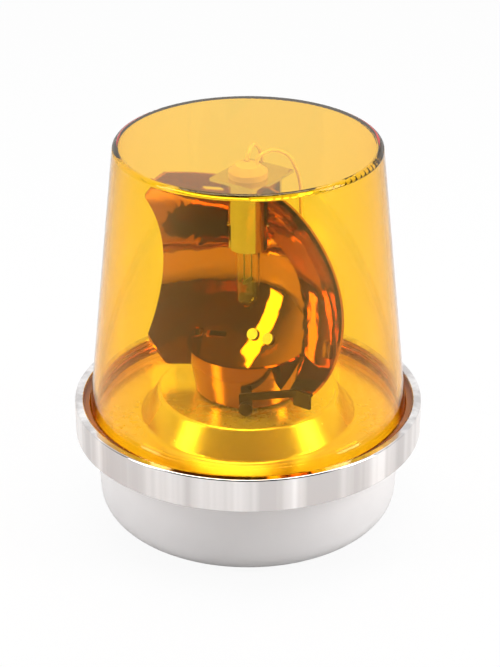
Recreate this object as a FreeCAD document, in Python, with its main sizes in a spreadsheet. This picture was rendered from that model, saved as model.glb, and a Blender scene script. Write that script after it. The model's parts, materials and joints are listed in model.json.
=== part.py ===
import FreeCAD, Part
import math
import os
from types import SimpleNamespace

import Sketcher
from FreeCAD import Placement, Rotation, Vector

# Driving dimensions, in millimetres, degrees and counts.
SIZES = {
    # base housing
    "base_top_r": 73.3,
    "base_low_r": 70.7,
    "base_edge": 12.0,
    "base_wall": 3.5,
    "base_floor": 4.0,
    "base_height": 47.8,
    "base_flange_thick": 4.5,
    "entry_r": 10.6,
    "entry_boss_wall": 4.4,
    "entry_length": 8.0,
    "mount_hole_r": 2.6,
    "mount_circle_r": 44.5,
    "mount_count": 3,
    "post_r": 4.5,
    "post_circle_r": 55.0,
    "post_count": 3,
    "post_turn": 30.0,
    # clamp ring
    "ring_r": 82.5,
    "ring_wall": 2.0,
    "ring_height": 16.3,
    "lip_width": 4.0,
    "lip_thick": 3.0,
    "thread_gap": 0.3,
    "ring_edge": 0.8,
    # dome
    "dome_height": 186.3,
    "dome_top_r": 61.4,
    "dome_foot_r": 75.2,
    "dome_wall": 2.5,
    "dome_flange_thick": 4.0,
    "dome_edge": 2.2,
    "lug_length": 3.0,
    "lug_width": 2.2,
    "lug_height": 1.2,
    "lug_spread": 18.5,
    # pedestal and gasket
    "sheet_steel": 1.2,
    "pedestal_height": 62.3,
    "pedestal_disc_r": 42.7,
    "pedestal_foot_r": 51.0,
    "pedestal_shoulder": 2.4,
    "pedestal_fillet": 3.2,
    "pedestal_hole_r": 12.0,
    "gasket_thick": 2.2,
    # chassis
    "chassis_level": 33.8,
    "chassis_thick": 1.6,
    "chassis_r": 60.5,
    "wire_hole_r": 5.0,
    "wire_hole_at": 42.0,
    "wire_hole_turn": 62.0,
    # fixings
    "screw_r": 1.6,
    "screw_head_r": 3.2,
    "screw_head_thick": 2.2,
    "screw_length": 9.0,
    "slot_width": 0.8,
    "slot_depth": 0.9,
    # spindle and its bearing
    "spindle_r": 4.0,
    "running_gap": 0.05,
    "bearing_wall": 3.45,
    "bearing_bottom": 17.8,
    "bearing_flange_r": 13.0,
    "bearing_flange_thick": 2.4,
    "washer_thick": 0.8,
    "washer_r": 9.0,
    "clip_thick": 1.0,
    "clip_r": 6.6,
    "clip_groove": 0.9,
    "spindle_tail": 3.0,
    # slip rings and brushes
    "carrier_r": 9.0,
    "carrier_height": 11.2,
    "slip_ring_wall": 1.5,
    "slip_ring_width": 3.0,
    "slip_ring_low": 1.6,
    "slip_ring_pitch": 4.8,
    "brush_side": 2.6,
    "brush_gap": 0.05,
    "holder_near": 16.5,
    "holder_depth": 10.0,
    "holder_width": 14.0,
    "holder_height": 13.4,
    # gears
    "gear_module": 0.75,
    "gear_teeth": 72,
    "pinion_teeth": 18,
    "gear_thick": 5.0,
    "pinion_extra": 1.0,
    "pressure_angle": 20.0,
    "backlash": 0.12,
    "gear_gap": 0.5,
    # motor
    "motor_r": 16.0,
    "motor_height": 14.5,
    "gearbox_r": 17.0,
    "gearbox_height": 8.0,
    "motor_shaft_r": 2.0,
    "shaft_socket": 5.0,
    "motor_ear_at": 13.0,
    "shaft_hole_r": 4.0,
    # terminals
    "terminal_at": 27.0,
    "terminal_depth": 18.0,
    "terminal_width": 28.0,
    "terminal_height": 11.0,
    "terminal_ways": 4,
    "terminal_pitch": 6.4,
    "ground_at": 38.0,
    "ground_turn": 62.0,
    "lead_r": 0.8,
    # hub
    "beam_turn": 235.5,
    "hub_gap": 0.9,
    "hub_low_r": 24.9,
    "hub_high_r": 28.9,
    "hub_height": 23.1,
    "hub_wall": 1.5,
    "hub_floor": 2.0,
    "hub_stem_r": 9.5,
    "lead_hole_r": 1.2,
    # reflector
    "focus_height": 117.8,
    "focal_length": 23.5,
    "dish_r": 60.0,
    "dish_sheet": 1.5,
    "dish_side": 48.5,
    "dish_top": 166.8,
    "dish_bottom": 69.8,
    "dish_gap": 0.3,
    "saddle_width": 16.0,
    "saddle_back": 23.0,
    "saddle_height": 28.0,
    # lamp and socket
    "socket_r": 9.0,
    "socket_wall": 0.8,
    "socket_low": 135.3,
    "socket_length": 31.5,
    "socket_cap_height": 7.0,
    "notch_gap": 0.5,
    "bracket_thick": 1.5,
    "bracket_width": 26.0,
    "bracket_front": 12.0,
    "bracket_back": 18.0,
    "cap_r": 7.5,
    "cap_low": 137.8,
    "cap_length": 15.0,
    "cap_gap": 0.7,
    "pin_r": 1.0,
    "pin_reach": 9.6,
    "pin_above_rim": 11.0,
    "slot_side": 2.8,
    "twist": 25.0,
    "glass_r": 5.5,
    "glass_wall": 0.7,
    "glass_tip": 103.6,
    "filament_r": 0.9,
    "filament_wire_r": 0.22,
    "filament_length": 6.0,
    "plunger_r": 2.4,
    "plunger_length": 7.0,
    "insulator_thick": 3.0,
    "spring_wire_r": 0.35,
    "spring_turns": 5,
    "slot_turn": -60.5,
    # brace strap between the hub and the reflector's corner
    "strap_thick": 1.2,
    "strap_height": 3.5,
    "strap_standoff": 3.2,
    "strap_standoff_r": 2.2,
    "strap_turn": 268.0,
    "strap_screw_above": 3.6,
    "strap_rise": 5.0,
    "strap_tab_width": 9.0,
    "strap_tab_height": 8.0,
    "strap_tab_in": 36.0,
    # slots pressed through the reflector
    "vent_length": 9.5,
    "vent_height": 2.6,
    "vent_side": 22.0,
    "vent_high": 38.0,
    "vent_low": 36.0,
    "rivet_r": 1.5,
    "rivet_head_r": 2.8,
    "rivet_head_thick": 1.2,
    "rivet_spread": 4.5,
    "rivet_drop": 34.0,
}

doc = FreeCAD.newDocument("WarningBeacon")
sheet = doc.addObject("Spreadsheet::Sheet", "Sizes")
for row, (name, value) in enumerate(SIZES.items(), start=1):
    sheet.set(f"A{row}", name)
    sheet.set(f"B{row}", str(value))
    sheet.setAlias(f"B{row}", name)
doc.recompute()


class Dim:
    """A length worked out from sheet cells, kept both as a number and as an expression."""

    def __init__(self, value, text=None):
        self.value = float(value)
        self.text = text if text else repr(float(value))

    def join(self, sign, other, value):
        return Dim(value, f"({self.text} {sign} {as_dim(other).text})")

    def __add__(self, other):
        return self.join("+", other, self.value + as_dim(other).value)

    def __sub__(self, other):
        return self.join("-", other, self.value - as_dim(other).value)

    def __rsub__(self, other):
        return as_dim(other) - self

    def __mul__(self, other):
        return self.join("*", other, self.value * as_dim(other).value)

    def __truediv__(self, other):
        return self.join("/", other, self.value / as_dim(other).value)

    def __neg__(self):
        return as_dim(0) - self


def as_dim(number):
    return number if isinstance(number, Dim) else Dim(number)


cell = SimpleNamespace(**{name: Dim(value, f"Sizes.{name}") for name, value in SIZES.items()})
ZERO = Dim(0)


# ---------------------------------------------------------------- building helpers

made = []


def bind(item, target, size):
    item.setExpression(target, as_dim(size).text)


def keep(item, name):
    item.Label = name
    made.append(item)
    return item


def turn_about_z(item, angle):
    item.Placement = Placement(Vector(0, 0, 0), Rotation(Vector(0, 0, 1), as_dim(angle).value))
    bind(item, "Placement.Rotation.Angle", angle)


def new_body(name):
    return doc.addObject("PartDesign::Body", name)


def origin_plane(body, role):
    for item in body.Origin.OriginFeatures:
        if item.Role == role:
            return item


def origin_axis(body):
    for item in body.Origin.OriginFeatures:
        if item.Role == "Z_Axis":
            return item


def new_sketch(body, plane, level=None, turn=None):
    sketch = body.newObject("Sketcher::SketchObject", "Sketch")
    sketch.AttachmentSupport = [(origin_plane(body, plane), "")]
    sketch.MapMode = "FlatFace"
    if turn is not None:
        sketch.AttachmentOffset = Placement(Vector(), Rotation(Vector(0, 0, 1), as_dim(turn).value))
        bind(sketch, "AttachmentOffset.Rotation.Angle", turn)
    if level is not None:
        bind(sketch, "AttachmentOffset.Base.z", level)
    return sketch


def fix_point(sketch, geometry, point, x, y):
    """Tie one sketch point to the sheet, on an axis where the coordinate is zero."""
    for kind, axis, size in (("DistanceX", -2, as_dim(x)), ("DistanceY", -1, as_dim(y))):
        if size.value == 0:
            sketch.addConstraint(Sketcher.Constraint("PointOnObject", geometry, point, axis))
        else:
            rule = Sketcher.Constraint(kind, -1, 1, geometry, point, size.value)
            bind(sketch, f"Constraints[{sketch.addConstraint(rule)}]", size)


def draw_outline(sketch, corners):
    corners = [(as_dim(x), as_dim(y)) for x, y in corners]
    first = sketch.GeometryCount
    for (x1, y1), (x2, y2) in zip(corners, corners[1:] + corners[:1]):
        line = Part.LineSegment(Vector(x1.value, y1.value, 0), Vector(x2.value, y2.value, 0))
        sketch.addGeometry(line)
    count = len(corners)
    for step in range(count):
        follower = first + (step + 1) % count
        sketch.addConstraint(Sketcher.Constraint("Coincident", first + step, 2, follower, 1))
    for step, (x, y) in enumerate(corners):
        fix_point(sketch, first + step, 1, x, y)


def draw_circle(sketch, x, y, radius):
    x, y, radius = as_dim(x), as_dim(y), as_dim(radius)
    middle = Vector(x.value, y.value, 0)
    index = sketch.addGeometry(Part.Circle(middle, Vector(0, 0, 1), radius.value))
    fix_point(sketch, index, 3, x, y)
    rule = Sketcher.Constraint("Radius", index, radius.value)
    bind(sketch, f"Constraints[{sketch.addConstraint(rule)}]", radius)


def draw_box(sketch, x, y, width, depth):
    """A rectangle about a centre point."""
    x, y = as_dim(x), as_dim(y)
    half_x, half_y = as_dim(width) / 2, as_dim(depth) / 2
    draw_outline(sketch, [(x - half_x, y - half_y), (x + half_x, y - half_y),
                          (x + half_x, y + half_y), (x - half_x, y + half_y)])


def revolve(body, corners):
    """Turn a radius and height outline about the vertical axis."""
    sketch = new_sketch(body, "XZ_Plane")
    draw_outline(sketch, corners)
    turned = body.newObject("PartDesign::Revolution", "Turned")
    turned.Profile = sketch
    turned.ReferenceAxis = (sketch, ["V_Axis"])
    turned.Angle = 360
    doc.recompute()
    return turned


def pad(body, draw, level, height, turn=None):
    """Pad what draw() puts in a level sketch, upwards from that level."""
    sketch = new_sketch(body, "XY_Plane", level, turn)
    draw(sketch)
    block = body.newObject("PartDesign::Pad", "Pad")
    block.Profile = sketch
    bind(block, "Length", height)
    doc.recompute()
    return block


def pocket(body, draw, level, depth, turn=None):
    """Cut what draw() puts in a level sketch, downwards from that level."""
    sketch = new_sketch(body, "XY_Plane", level, turn)
    draw(sketch)
    before = body.Shape.Volume
    cut = body.newObject("PartDesign::Pocket", "Pocket")
    cut.Profile = sketch
    bind(cut, "Length", depth)
    doc.recompute()
    if not body.Shape.Volume < before:
        raise RuntimeError(f"{body.Name}: a pocket cut nothing")
    return cut


def repeat_around(body, feature, count):
    pattern = body.newObject("PartDesign::PolarPattern", "Around")
    pattern.Originals = [feature]
    pattern.Axis = (origin_axis(body), [""])
    pattern.Angle = 360
    bind(pattern, "Occurrences", count)
    body.Tip = pattern
    doc.recompute()
    return pattern


def circular_edges(shape, radius, level):
    """Names of the edges that are circles about the vertical axis at a radius and height."""
    names = []
    for number, edge in enumerate(shape.Edges, start=1):
        curve = edge.Curve
        if not isinstance(curve, Part.Circle):
            continue
        centre = curve.Center
        on_axis = math.hypot(centre.x, centre.y) < 1e-3
        if on_axis and abs(curve.Radius - radius) < 1e-3 and abs(centre.z - level) < 1e-3:
            names.append(f"Edge{number}")
    return names


def round_edge(body, radius, level, size):
    base = body.Tip
    names = circular_edges(base.Shape, as_dim(radius).value, as_dim(level).value)
    if not names:
        raise RuntimeError(f"{body.Name}: no edge at radius {radius.text}")
    fillet = body.newObject("PartDesign::Fillet", "Round")
    fillet.Base = (base, names)
    bind(fillet, "Radius", size)
    doc.recompute()
    return fillet


def turned_part(name, corners, rounds=()):
    body = new_body(name)
    revolve(body, corners)
    for radius, level, size in rounds:
        round_edge(body, radius, level, size)
    return keep(body, name)


def tube(name, inner, outer, low, height, rounds=()):
    low, high = as_dim(low), as_dim(low) + height
    inner, outer = as_dim(inner), as_dim(outer)
    return turned_part(name, [(inner, low), (outer, low), (outer, high), (inner, high)], rounds)


def part_box(x, y, z, length, width, height):
    """A Part box from its low corner and its sides."""
    box = doc.addObject("Part::Box", "Block")
    for side, size in (("Length", length), ("Width", width), ("Height", height)):
        bind(box, side, size)
    for axis, size in (("x", x), ("y", y), ("z", z)):
        bind(box, f"Placement.Base.{axis}", size)
    return box


def part_cylinder(x, y, z, radius, height):
    rod = doc.addObject("Part::Cylinder", "Rod")
    bind(rod, "Radius", radius)
    bind(rod, "Height", height)
    for axis, size in (("x", x), ("y", y), ("z", z)):
        bind(rod, f"Placement.Base.{axis}", size)
    return rod


def join(items):
    fused = doc.addObject("Part::MultiFuse", "Joined")
    fused.Shapes = items
    return fused


def cut_from(base, tool):
    rest = doc.addObject("Part::Cut", "Trimmed")
    rest.Base = base
    rest.Tool = tool
    return rest


def shape_feature(name, shape):
    item = doc.addObject("Part::Feature", name)
    item.Shape = shape
    return item


def point_on(radius, turn, level):
    """A point from its distance to the vertical axis, its bearing and its height."""
    angle = math.radians(turn)
    return Vector(radius * math.cos(angle), radius * math.sin(angle), level)


# ---------------------------------------------------------------- levels and radii shared by parts

base_inner_top_r = cell.base_top_r - cell.base_wall
base_inner_low_r = cell.base_low_r - cell.base_wall
flange_low = cell.base_height - cell.base_flange_thick
ring_bore = cell.ring_r - cell.ring_wall
flange_r = ring_bore - cell.thread_gap
pedestal_flange_top = cell.base_height + cell.sheet_steel
dome_low = pedestal_flange_top + cell.gasket_thick
dome_flange_top = dome_low + cell.dome_flange_thick
ring_top = dome_flange_top + cell.lip_thick
ring_low = ring_top - cell.ring_height
lip_r = cell.ring_r - cell.lip_width
dome_inner_top_r = cell.dome_top_r - cell.dome_wall
dome_inner_foot_r = cell.dome_foot_r - cell.dome_wall
chassis_top = cell.chassis_level + cell.chassis_thick
bearing_outer_r = cell.spindle_r + cell.running_gap + cell.bearing_wall
bearing_top = chassis_top + cell.bearing_flange_thick
carrier_low = bearing_top + cell.washer_thick
carrier_top = carrier_low + cell.carrier_height
slip_ring_r = cell.carrier_r + cell.slip_ring_wall
gear_low = carrier_top + cell.gear_gap
gear_top = gear_low + cell.gear_thick
motor_offset = cell.gear_module * (cell.gear_teeth + cell.pinion_teeth) / 2
hub_low = cell.pedestal_height + cell.hub_gap
hub_floor_top = hub_low + cell.hub_floor
hub_top = hub_low + cell.hub_height
spindle_low = cell.bearing_bottom - cell.clip_thick - cell.spindle_tail
clip_level = cell.bearing_bottom - cell.clip_thick
beam = cell.beam_turn


# ---------------------------------------------------------------- base and what it holds

def base_housing():
    body = new_body("base_housing")
    boss_r = cell.entry_r + cell.entry_boss_wall
    revolve(body, [
        (cell.entry_r, 0), (cell.base_low_r, 0), (cell.base_top_r, flange_low),
        (flange_r, flange_low), (flange_r, cell.base_height),
        (base_inner_top_r, cell.base_height), (base_inner_low_r, cell.base_floor),
        (boss_r, cell.base_floor), (boss_r, cell.entry_length),
        (cell.entry_r, cell.entry_length)])
    round_edge(body, cell.base_low_r, 0, cell.base_edge)
    round_edge(body, base_inner_low_r, cell.base_floor, cell.base_edge - cell.base_wall)
    post_height = cell.chassis_level - cell.base_floor
    post = pad(body, lambda sketch: draw_circle(sketch, cell.post_circle_r, 0, cell.post_r),
               cell.base_floor, post_height, cell.post_turn)
    repeat_around(body, post, cell.post_count)
    hole = pocket(body, lambda sketch: draw_circle(sketch, cell.post_circle_r, 0, cell.screw_r),
                  cell.chassis_level, cell.screw_length, cell.post_turn)
    repeat_around(body, hole, cell.post_count)
    foot_hole = pocket(body,
                       lambda sketch: draw_circle(sketch, 0, cell.mount_circle_r, cell.mount_hole_r),
                       cell.base_floor, cell.base_floor)
    repeat_around(body, foot_hole, cell.mount_count)
    pocket(body, draw_ground_hole, cell.base_floor, cell.base_floor - cell.base_floor / 4)
    return keep(body, "base_housing")


def ground_point():
    angle = math.radians(cell.ground_turn.value)
    reach = cell.ground_at
    return reach * math.cos(angle), reach * math.sin(angle)


def draw_ground_hole(sketch):
    x, y = ground_point()
    draw_circle(sketch, x, y, cell.screw_r)


def pedestal():
    """A pressed steel cover whose top stands over the gears."""
    top, sheet_thick = cell.pedestal_height, cell.sheet_steel
    foot = pedestal_flange_top
    body = new_body("pedestal")
    revolve(body, [
        (cell.pedestal_hole_r, top - sheet_thick), (cell.pedestal_hole_r, top),
        (cell.pedestal_disc_r, top), (cell.pedestal_foot_r, foot), (flange_r - 1, foot),
        (flange_r - 1, cell.base_height), (cell.pedestal_foot_r - sheet_thick, cell.base_height),
        (cell.pedestal_disc_r - sheet_thick, top - sheet_thick)])
    round_edge(body, cell.pedestal_disc_r, top, cell.pedestal_shoulder)
    round_edge(body, cell.pedestal_foot_r, foot, cell.pedestal_fillet)
    return keep(body, "pedestal")


def screw(name, places, level, length, radius=cell.screw_r):
    """Slotted pan-head screws standing on a level at (x, y) places, as one node."""
    blocks = []
    for x, y in places:
        shank = part_cylinder(x, y, level - length, radius, length)
        head = part_cylinder(x, y, level, cell.screw_head_r, cell.screw_head_thick)
        slot = part_box(as_dim(x) - cell.screw_head_r, as_dim(y) - cell.slot_width / 2,
                        as_dim(level) + cell.screw_head_thick - cell.slot_depth,
                        cell.screw_head_r * 2, cell.slot_width, cell.slot_depth)
        blocks.append(cut_from(join([shank, head]), slot))
    if len(blocks) == 1:
        return keep(blocks[0], name)
    group = doc.addObject("Part::Compound", name)
    group.Links = blocks
    return keep(group, name)


def around(radius, turn, count):
    """Places evenly spaced on a circle, as lengths that follow the radius."""
    places = []
    for step in range(int(count.value)):
        angle = math.radians(turn.value + 360 / count.value * step)
        places.append((radius * math.cos(angle), radius * math.sin(angle)))
    return places


def chassis_plate():
    body = new_body("chassis_plate")
    pad(body, lambda sketch: draw_circle(sketch, 0, 0, cell.chassis_r),
        cell.chassis_level, cell.chassis_thick)
    pocket(body, lambda sketch: draw_circle(sketch, 0, 0, bearing_outer_r),
           chassis_top, cell.chassis_thick)
    pocket(body, lambda sketch: draw_circle(sketch, -motor_offset, 0, cell.shaft_hole_r),
           chassis_top, cell.chassis_thick)
    hole = pocket(body, lambda sketch: draw_circle(sketch, cell.post_circle_r, 0, cell.screw_r),
                  chassis_top, cell.chassis_thick, cell.post_turn)
    repeat_around(body, hole, cell.post_count)
    for side in (-1, 1):
        pocket(body, lambda sketch: draw_circle(sketch, -motor_offset, cell.motor_ear_at * side,
                                                cell.screw_r), chassis_top, cell.chassis_thick)
    angle = math.radians(cell.wire_hole_turn.value)
    pocket(body, lambda sketch: draw_circle(sketch, cell.wire_hole_at * math.cos(angle),
                                            cell.wire_hole_at * math.sin(angle),
                                            cell.wire_hole_r), chassis_top, cell.chassis_thick)
    for side in (-1, 1):
        pocket(body, lambda sketch: draw_circle(sketch, holder_screw_x * side, holder_screw_y,
                                                cell.screw_r), chassis_top, cell.chassis_thick)
    return keep(body, "chassis_plate")


def motor():
    top = cell.chassis_level
    shaft_bore = cell.motor_shaft_r + cell.running_gap
    body = new_body("gearbox")
    pad(body, lambda sketch: draw_circle(sketch, -motor_offset, 0, cell.gearbox_r),
        top - cell.gearbox_height, cell.gearbox_height)
    pocket(body, lambda sketch: draw_circle(sketch, -motor_offset, 0, shaft_bore),
           top, cell.shaft_socket)
    for side in (-1, 1):
        pocket(body, lambda sketch: draw_circle(sketch, -motor_offset, cell.motor_ear_at * side,
                                                cell.screw_r), top, cell.shaft_socket)
    keep(body, "gearbox")
    can = new_body("motor_can")
    pad(can, lambda sketch: draw_circle(sketch, -motor_offset, 0, cell.motor_r),
        top - cell.gearbox_height - cell.motor_height, cell.motor_height)
    keep(can, "motor_can")
    screw("motor_screws", [(-motor_offset, cell.motor_ear_at), (-motor_offset, -cell.motor_ear_at)],
          chassis_top, cell.chassis_thick + cell.shaft_socket - cell.thread_gap)


holder_screw_x = cell.holder_width / 2 + cell.screw_head_r + cell.thread_gap
holder_screw_y = cell.holder_near + cell.holder_depth / 2
brush_levels = [carrier_low + cell.slip_ring_low + cell.slip_ring_width / 2 + cell.slip_ring_pitch * k
                for k in range(2)]


def brush_holder():
    """An insulating block on a foot, with a square channel for each brush."""
    block = part_box(-cell.holder_width / 2, cell.holder_near, chassis_top,
                     cell.holder_width, cell.holder_depth, cell.holder_height)
    foot_x = holder_screw_x + cell.screw_head_r
    foot = part_box(-foot_x, cell.holder_near, chassis_top, foot_x * 2, cell.holder_depth, 2)
    solid = join([block, foot])
    for level in brush_levels:
        side = cell.brush_side
        channel = part_box(-side / 2, cell.holder_near, level - side / 2,
                           side, cell.holder_depth * 0.8, side)
        solid = cut_from(solid, channel)
    for side in (-1, 1):
        solid = cut_from(solid, part_cylinder(holder_screw_x * side, holder_screw_y, chassis_top,
                                              cell.screw_r, 2))
    keep(solid, "brush_holder")
    screw("holder_screws", [(holder_screw_x, holder_screw_y), (-holder_screw_x, holder_screw_y)],
          chassis_top + 2, chassis_top + 2 - cell.chassis_level)
    tip = slip_ring_r + cell.brush_gap
    for word, level in zip(("lower", "upper"), brush_levels):
        brush = part_box(-cell.brush_side / 2, tip, level - cell.brush_side / 2,
                         cell.brush_side, cell.holder_near - tip + cell.holder_depth * 0.3,
                         cell.brush_side)
        keep(brush, f"brush_{word}")
        spring = part_cylinder(0, cell.holder_near + cell.holder_depth * 0.3, level,
                               cell.brush_side * 0.4, cell.holder_depth * 0.5)
        spring.Placement = Placement(spring.Placement.Base, Rotation(Vector(1, 0, 0), -90))
        keep(spring, f"brush_spring_{word}")


def terminal_block():
    low, high = cell.base_floor, cell.base_floor + cell.terminal_height
    block = part_box(cell.terminal_at, -cell.terminal_width / 2, low,
                     cell.terminal_depth, cell.terminal_width, cell.terminal_height)
    places = []
    first = -(cell.terminal_pitch * (cell.terminal_ways - 1)) / 2
    middle_x = cell.terminal_at + cell.terminal_depth / 2
    for way in range(int(cell.terminal_ways.value)):
        places.append((middle_x, first + cell.terminal_pitch * way))
    solid = block
    for x, y in places:
        solid = cut_from(solid, part_cylinder(x, y, high - 6, cell.screw_r, 6))
        for wire_x in (cell.terminal_at, cell.terminal_at + cell.terminal_depth - 5):
            solid = cut_from(solid, part_box(wire_x, y - 1.5, low + 3, 5, 3, 3))
    keep(solid, "terminal_block")
    screw("terminal_screws", places, high, 6 - cell.thread_gap)
    ground_x, ground_y = ground_point()
    screw("ground_screw", [(ground_x, ground_y)], cell.base_floor, cell.base_floor * 0.7)


# ---------------------------------------------------------------- gears

def involute_turn(base_radius, radius):
    ratio = min(1.0, base_radius / radius)
    return math.tan(math.acos(ratio)) - math.acos(ratio)


def gear_face(teeth, module, bore, start_turn):
    """A spur gear's outline with involute flanks, as a face with its bore."""
    pressure = math.radians(cell.pressure_angle.value)
    pitch_r = module * teeth / 2
    base_r = pitch_r * math.cos(pressure)
    tip_r, root_r = pitch_r + module, pitch_r - module * 1.25
    half = math.pi / 2 / teeth - cell.backlash.value / 2 / pitch_r
    half += involute_turn(base_r, pitch_r)
    low_r = max(base_r, root_r)
    radii = [low_r + (tip_r - low_r) * step / 4 for step in range(5)]
    flank = [(root_r, half)] + [(r, half - involute_turn(base_r, r)) for r in radii]
    points = []
    for tooth in range(teeth):
        middle = start_turn + 2 * math.pi * tooth / teeth
        for radius, turn in flank:
            points.append(Vector(radius * math.cos(middle - turn), radius * math.sin(middle - turn), 0))
        for radius, turn in reversed(flank):
            points.append(Vector(radius * math.cos(middle + turn), radius * math.sin(middle + turn), 0))
    face = Part.Face(Part.makePolygon(points + points[:1]))
    hole = Part.Face(Part.Wire(Part.makeCircle(bore)))
    return face.cut(hole)


def gears():
    module = cell.gear_module.value
    wheel = gear_face(int(cell.gear_teeth.value), module, cell.spindle_r.value, 0)
    solid = wheel.extrude(Vector(0, 0, cell.gear_thick.value))
    item = shape_feature("driven_gear", solid)
    item.Placement = Placement(Vector(0, 0, gear_low.value), Rotation())
    keep(item, "driven_gear")
    teeth = int(cell.pinion_teeth.value)
    small = gear_face(teeth, module, cell.motor_shaft_r.value, math.pi / teeth)
    extra = cell.pinion_extra.value
    solid = small.extrude(Vector(0, 0, cell.gear_thick.value + extra))
    item = shape_feature("pinion", solid)
    item.Placement = Placement(Vector(-motor_offset.value, 0, gear_low.value - extra / 2), Rotation())
    keep(item, "pinion")
    shaft_low = cell.chassis_level - cell.shaft_socket + cell.thread_gap
    shaft_high = gear_top + cell.pinion_extra
    keep(part_cylinder(-motor_offset, 0, shaft_low, cell.motor_shaft_r, shaft_high - shaft_low),
         "motor_shaft")


# ---------------------------------------------------------------- spindle group

def spindle_group():
    flange_low_level = chassis_top
    bore = cell.spindle_r + cell.running_gap
    turned_part("bearing_tube", [
        (bore, cell.bearing_bottom), (bearing_outer_r, cell.bearing_bottom),
        (bearing_outer_r, flange_low_level), (cell.bearing_flange_r, flange_low_level),
        (cell.bearing_flange_r, bearing_top), (bore, bearing_top)])
    tube("thrust_washer", bore, cell.washer_r, bearing_top, cell.washer_thick)
    groove_r = cell.spindle_r - cell.clip_groove
    turned_part("spindle", [
        (0, spindle_low), (cell.spindle_r, spindle_low), (cell.spindle_r, clip_level),
        (groove_r, clip_level), (groove_r, cell.bearing_bottom),
        (cell.spindle_r, cell.bearing_bottom), (cell.spindle_r, hub_low), (0, hub_low)])
    tube("retaining_clip", groove_r, cell.clip_r, clip_level, cell.clip_thick - cell.running_gap)
    tube("slip_ring_carrier", cell.spindle_r, cell.carrier_r, carrier_low, cell.carrier_height)
    for number, word in enumerate(("lower", "upper")):
        low = carrier_low + cell.slip_ring_low + cell.slip_ring_pitch * number
        tube(f"slip_ring_{word}", cell.carrier_r, slip_ring_r, low, cell.slip_ring_width)
    tube("gear_spacer", cell.spindle_r, cell.carrier_r, carrier_top, cell.gear_gap)
    tube("hub_stem", cell.spindle_r, cell.hub_stem_r, gear_top, hub_low - gear_top)


# ---------------------------------------------------------------- hub and reflector

def rim_reach():
    """How far the rim stands in front of the focus."""
    return cell.dish_r.value ** 2 / 4 / cell.focal_length.value - cell.focal_length.value


def mirror_curve(shift, rim_r):
    """Half of the mirror's section, a parabola moved along the beam by a shift."""
    focal, steps = cell.focal_length.value, 10
    heights = [rim_r * step / steps for step in range(steps + 1)]
    curve = Part.BSplineCurve()
    curve.interpolate([Vector(y ** 2 / 4 / focal - focal + shift, y, 0) for y in heights])
    return curve.toShape()


def mirror_shell():
    """The whole dish before trimming, of even thickness along the beam."""
    focal, thick = cell.focal_length.value, cell.dish_sheet.value
    inner_r = cell.dish_r.value
    outer_r = math.sqrt(inner_r ** 2 + 4 * focal * thick)
    inner, outer = mirror_curve(0, inner_r), mirror_curve(-thick, outer_r)
    rim = Part.makeLine(Vector(rim_reach(), inner_r, 0), Vector(rim_reach(), outer_r, 0))
    middle = Part.makeLine(Vector(-focal - thick, 0, 0), Vector(-focal, 0, 0))
    face = Part.Face(Part.Wire([inner, rim, outer, middle]))
    solid = face.revolve(Vector(0, 0, 0), Vector(1, 0, 0), 360)
    solid.translate(Vector(0, 0, cell.focus_height.value))
    return solid


def mirror_point(side, level):
    """A point of the mirror's inner surface, from its sideways place and its height."""
    rise = level - cell.focus_height.value
    reach = (side ** 2 + rise ** 2) / 4 / cell.focal_length.value - cell.focal_length.value
    normal = Vector(1, -side / 2 / cell.focal_length.value, -rise / 2 / cell.focal_length.value)
    return Vector(reach, side, level), normal.normalize()


def beam_box(x1, x2, y1, y2, z1, z2):
    """A box in the reflector's own frame, whose X runs along the beam."""
    return Part.makeBox(x2 - x1, y2 - y1, z2 - z1, Vector(x1, y1, z1))


def beam_feature(name, shape):
    item = shape_feature(name, shape)
    turn_about_z(item, beam)
    return keep(item, name)


def rivet_places():
    level = cell.focus_height.value - cell.rivet_drop.value
    return [mirror_point(side * cell.rivet_spread.value, level) for side in (-1, 1)]


def rivet_shank(point, normal):
    """A shank into the saddle, ending just proud of the hollow mirror for its flat head."""
    depth, proud = 5.0, 0.15
    return Part.makeCylinder(cell.rivet_r.value, depth + proud, point - normal * depth, normal)


def reflector():
    reach, side = rim_reach(), cell.dish_side.value
    wide = cell.dish_r.value * 2
    shell = mirror_shell()
    keep_box = beam_box(-wide, wide, -side, wide, cell.dish_bottom.value, cell.dish_top.value)
    shell = shell.common(keep_box)
    notch_r = cell.socket_r.value + cell.notch_gap.value
    notch = Part.makeCylinder(notch_r, wide, Vector(0, 0, cell.socket_low.value))
    shell = shell.cut(notch)
    half, tall = cell.vent_length.value / 2, cell.vent_height.value / 2
    for rise in (cell.vent_high.value, -cell.vent_low.value):
        middle = cell.focus_height.value + rise
        at = -cell.vent_side.value
        slot = beam_box(-wide, reach - 1, at - half, at + half, middle - tall, middle + tall)
        upright = [edge for edge in slot.Edges
                   if abs(edge.tangentAt(edge.FirstParameter).x) > 0.9]
        shell = shell.cut(slot.makeFillet(tall * 0.95, upright))
    for point, normal in rivet_places():
        shell = shell.cut(rivet_shank(point, normal))
    beam_feature("reflector", shell)


def mirror_back(level, side=0.0):
    """How far along the beam the mirror's back surface lies, at a height and sideways place."""
    rise = level - cell.focus_height.value
    focal = cell.focal_length.value
    return (side ** 2 + rise ** 2) / 4 / focal - focal - cell.dish_sheet.value


def upright_prism(outline, half_width, shift=0.0):
    """An outline of (reach, height) points, made solid across the beam."""
    points = [Vector(reach, shift - half_width, level) for reach, level in outline]
    face = Part.Face(Part.makePolygon(points + points[:1]))
    return face.extrude(Vector(0, half_width * 2, 0))


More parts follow.
